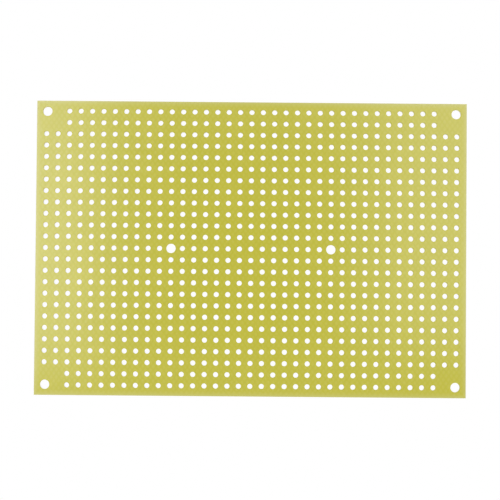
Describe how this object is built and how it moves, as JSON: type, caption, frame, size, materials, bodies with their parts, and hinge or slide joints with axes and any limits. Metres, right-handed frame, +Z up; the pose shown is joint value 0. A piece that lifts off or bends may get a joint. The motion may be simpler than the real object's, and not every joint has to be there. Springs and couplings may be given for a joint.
{
  "type": "prototype board",
  "caption": "Rectangular unclad glass-epoxy prototype board, drilled all over with a fine square grid of lead holes, with screw holes at the corners and in the middle row.",
  "frame": {"origin": "middle of the underside", "axes": "+X along the length, +Y across the width, +Z up through the thickness, away from the surface that the board lies on"},
  "size_m": [0.0958, 0.0654, 0.0012],
  "materials": {
    "laminate": "satin, natural glass-epoxy"
  },
  "bodies": {
    "root": {"board": "laminate"}
  },
  "joints": []
}
